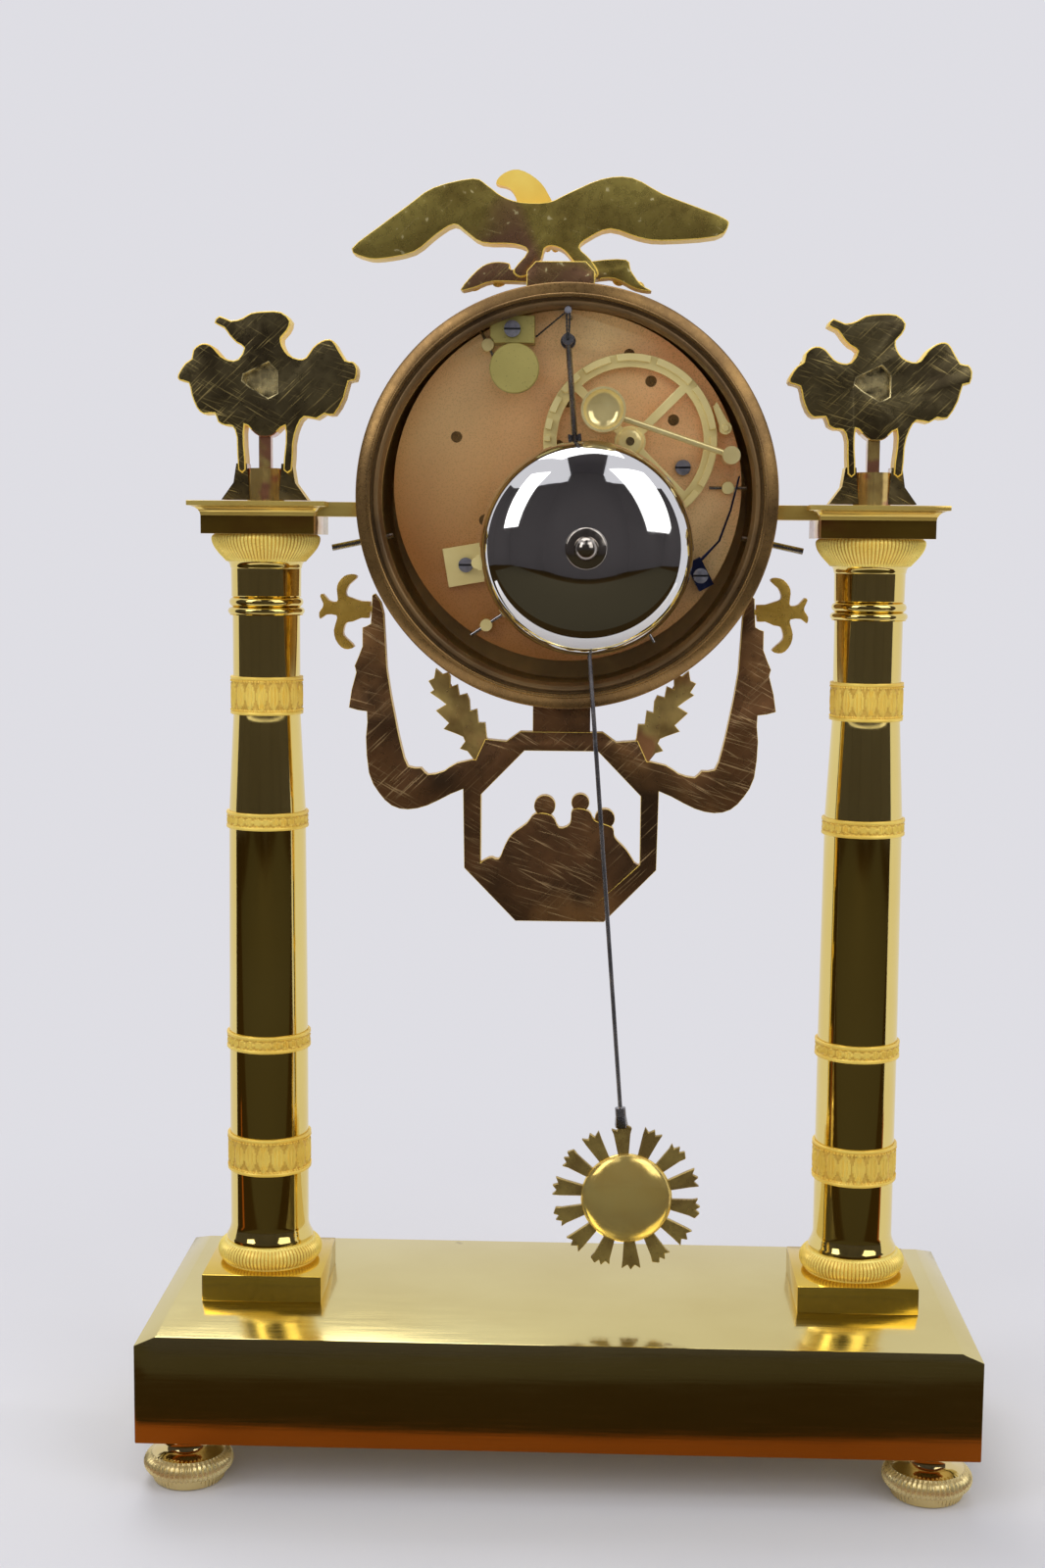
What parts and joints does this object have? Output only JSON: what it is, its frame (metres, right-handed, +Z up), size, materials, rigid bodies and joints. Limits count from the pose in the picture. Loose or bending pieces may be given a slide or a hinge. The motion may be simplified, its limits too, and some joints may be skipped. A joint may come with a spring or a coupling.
{
  "type": "portico mantel clock",
  "caption": "Portico mantel clock: drum movement with bell and count-wheel strike between two gilt columns on a plinth, with a swinging sunburst pendulum.",
  "frame": {"origin": "middle of the plinth's footprint, on the surface that the feet stand on", "axes": "+Z up, the dial faces -Y and the bell and pendulum are at +Y, +X to the right as seen from the dial"},
  "size_m": [0.248, 0.096, 0.3894],
  "materials": {
    "plinth_brass": "satin",
    "gilt_polished": "mirror polished",
    "gilt_matte": "frosted gilt",
    "cast_gilt": "gilt front, dark rough back",
    "drum_brass": "aged, turned",
    "plate_brass": "lacquered",
    "wheel_brass": "polished",
    "steel": "polished steel",
    "blued_steel": "blued",
    "bell_metal": "mirror polished",
    "enamel": "glossy fired enamel",
    "silk": "twisted thread"
  },
  "bodies": {
    "case": {"base_plinth": "plinth_brass", "base_plate": "plate_brass", "feet": "gilt_matte", "column_blocks": "gilt_polished", "column_base_rings": "gilt_matte", "column_shafts": "gilt_polished", "column_bands": "gilt_matte", "capitals": "gilt_matte", "cornices": "gilt_polished", "tie_rods": "steel", "eagle_left": "cast_gilt", "eagle_right": "cast_gilt", "top_eagle": "cast_gilt", "case_screws": "steel", "drum_shell": "drum_brass", "rear_rim": "drum_brass", "front_bezel": "gilt_polished", "taper_pins": "steel", "pendant_plaque": "cast_gilt", "dial": "enamel", "front_plate": "plate_brass", "back_plate": "plate_brass", "pillars": "plate_brass", "movement_screws": "steel", "suspension_cock": "plate_brass", "silk_thread": "silk", "bell_stand": "plate_brass", "bell": "bell_metal", "bell_nut": "bell_metal", "hammer_spring": "blued_steel", "click_springs": "blued_steel"},
    "minute_arbor": {"minute_hand": "blued_steel", "cannon_pinion": "steel", "center_wheel": "wheel_brass"},
    "hour_pipe": {"hour_hand": "blued_steel", "hour_wheel": "wheel_brass"},
    "minute_wheel_body": {"minute_wheel": "wheel_brass"},
    "third_arbor": {"third_wheel": "wheel_brass"},
    "escape_arbor": {"escape_wheel": "wheel_brass"},
    "second_arbor": {"second_wheel": "wheel_brass"},
    "going_barrel_body": {"going_barrel": "wheel_brass", "going_mainspring": "blued_steel"},
    "strike_barrel_body": {"strike_barrel": "wheel_brass", "strike_mainspring": "blued_steel"},
    "count_arbor": {"strike_second_wheel": "wheel_brass", "count_wheel": "wheel_brass"},
    "pin_arbor": {"pin_wheel": "wheel_brass"},
    "locking_arbor": {"locking_wheel": "wheel_brass"},
    "fly_arbor": {"fly": "wheel_brass"},
    "pallet_arbor": {"pallets": "steel", "crutch": "steel"},
    "pendulum": {"pendulum_rod": "steel", "pendulum_bob": "gilt_matte"},
    "hammer_arbor": {"hammer": "plate_brass"},
    "detent_arbor": {"detent_lever": "steel"},
    "roller": {"silk_roller": "plate_brass"},
    "going_winder": {"going_winding_arbor": "steel"},
    "strike_winder": {"strike_winding_arbor": "steel"},
    "going_click_body": {"going_click": "steel"},
    "strike_click_body": {"strike_click": "steel"}
  },
  "joints": [
    {"name": "minute_turn", "type": "hinge", "parent": "case", "child": "minute_arbor", "pos_m": [0, 0, 0.2939], "axis": [0, 1, 0], "continuous": true},
    {"name": "third_turn", "type": "hinge", "parent": "case", "child": "third_arbor", "pos_m": [0.00278, 0, 0.3095], "axis": [0, 1, 0], "continuous": true},
    {"name": "escape_turn", "type": "hinge", "parent": "case", "child": "escape_arbor", "pos_m": [0, 0, 0.3224], "axis": [0, 1, 0], "continuous": true},
    {"name": "second_turn", "type": "hinge", "parent": "case", "child": "second_arbor", "pos_m": [0.0031, 0, 0.27653], "axis": [0, 1, 0], "continuous": true},
    {"name": "going_barrel_turn", "type": "hinge", "parent": "case", "child": "going_barrel_body", "pos_m": [0.0245, 0, 0.2874], "axis": [0, 1, 0], "continuous": true},
    {"name": "minute_wheel_turn", "type": "hinge", "parent": "case", "child": "minute_wheel_body", "pos_m": [0, 0, 0.2819], "axis": [0, 1, 0], "continuous": true},
    {"name": "hour_turn", "type": "hinge", "parent": "case", "child": "hour_pipe", "pos_m": [0, 0, 0.2939], "axis": [0, 1, 0], "continuous": true},
    {"name": "pin_wheel_turn", "type": "hinge", "parent": "case", "child": "pin_arbor", "pos_m": [-0.03121, 0, 0.31722], "axis": [0, 1, 0], "continuous": true},
    {"name": "strike_second_turn", "type": "hinge", "parent": "case", "child": "count_arbor", "pos_m": [-0.01841, 0, 0.31061], "axis": [0, 1, 0], "continuous": true},
    {"name": "strike_barrel_turn", "type": "hinge", "parent": "case", "child": "strike_barrel_body", "pos_m": [-0.0245, 0, 0.2874], "axis": [0, 1, 0], "continuous": true},
    {"name": "locking_turn", "type": "hinge", "parent": "case", "child": "locking_arbor", "pos_m": [-0.02441, 0, 0.32853], "axis": [0, 1, 0], "continuous": true},
    {"name": "fly_turn", "type": "hinge", "parent": "case", "child": "fly_arbor", "pos_m": [-0.0179, 0, 0.33623], "axis": [0, 1, 0], "continuous": true},
    {"name": "pendulum_swing", "type": "hinge", "parent": "case", "child": "pendulum", "pos_m": [0, 0, 0.3389], "axis": [0, 1, 0], "range_deg": [-9.57, 0.43]},
    {"name": "pallet_rock", "type": "hinge", "parent": "case", "child": "pallet_arbor", "pos_m": [0, 0, 0.3389], "axis": [0, 1, 0], "range_deg": [-9.57, 0.43]},
    {"name": "hammer_lift", "type": "hinge", "parent": "case", "child": "hammer_arbor", "pos_m": [-0.0475, 0, 0.3064], "axis": [0, 1, 0], "range_deg": [-10, 0]},
    {"name": "detent_lift", "type": "hinge", "parent": "case", "child": "detent_arbor", "pos_m": [-0.0463, 0, 0.3147], "axis": [0, 1, 0], "range_deg": [-8, 0]},
    {"name": "roller_turn", "type": "hinge", "parent": "case", "child": "roller", "pos_m": [0.0155, 0, 0.331], "axis": [0, 1, 0], "continuous": true},
    {"name": "going_wind", "type": "hinge", "parent": "case", "child": "going_winder", "pos_m": [0.0245, 0, 0.2874], "axis": [0, 1, 0], "continuous": true},
    {"name": "strike_wind", "type": "hinge", "parent": "case", "child": "strike_winder", "pos_m": [-0.0245, 0, 0.2874], "axis": [0, 1, 0], "continuous": true},
    {"name": "going_click_lift", "type": "hinge", "parent": "case", "child": "going_click_body", "pos_m": [0.035, 0, 0.29489], "axis": [0, 1, 0], "range_deg": [0, 6]},
    {"name": "strike_click_lift", "type": "hinge", "parent": "case", "child": "strike_click_body", "pos_m": [-0.035, 0, 0.29489], "axis": [0, 1, 0], "range_deg": [-6, 0]}
  ],
  "couplings": [
    {"joint": "third_turn", "follows": "minute_turn", "ratio": -10},
    {"joint": "escape_turn", "follows": "minute_turn", "ratio": 100},
    {"joint": "second_turn", "follows": "minute_turn", "ratio": -0.16667},
    {"joint": "going_barrel_turn", "follows": "minute_turn", "ratio": 0.02381},
    {"joint": "minute_wheel_turn", "follows": "minute_turn", "ratio": -0.33333},
    {"joint": "hour_turn", "follows": "minute_turn", "ratio": 0.083333},
    {"joint": "strike_second_turn", "follows": "pin_wheel_turn", "ratio": -0.11111},
    {"joint": "strike_barrel_turn", "follows": "pin_wheel_turn", "ratio": 0.015873},
    {"joint": "locking_turn", "follows": "pin_wheel_turn", "ratio": -10},
    {"joint": "fly_turn", "follows": "pin_wheel_turn", "ratio": 80},
    {"joint": "pallet_rock", "follows": "pendulum_swing", "ratio": 1}
  ]
}
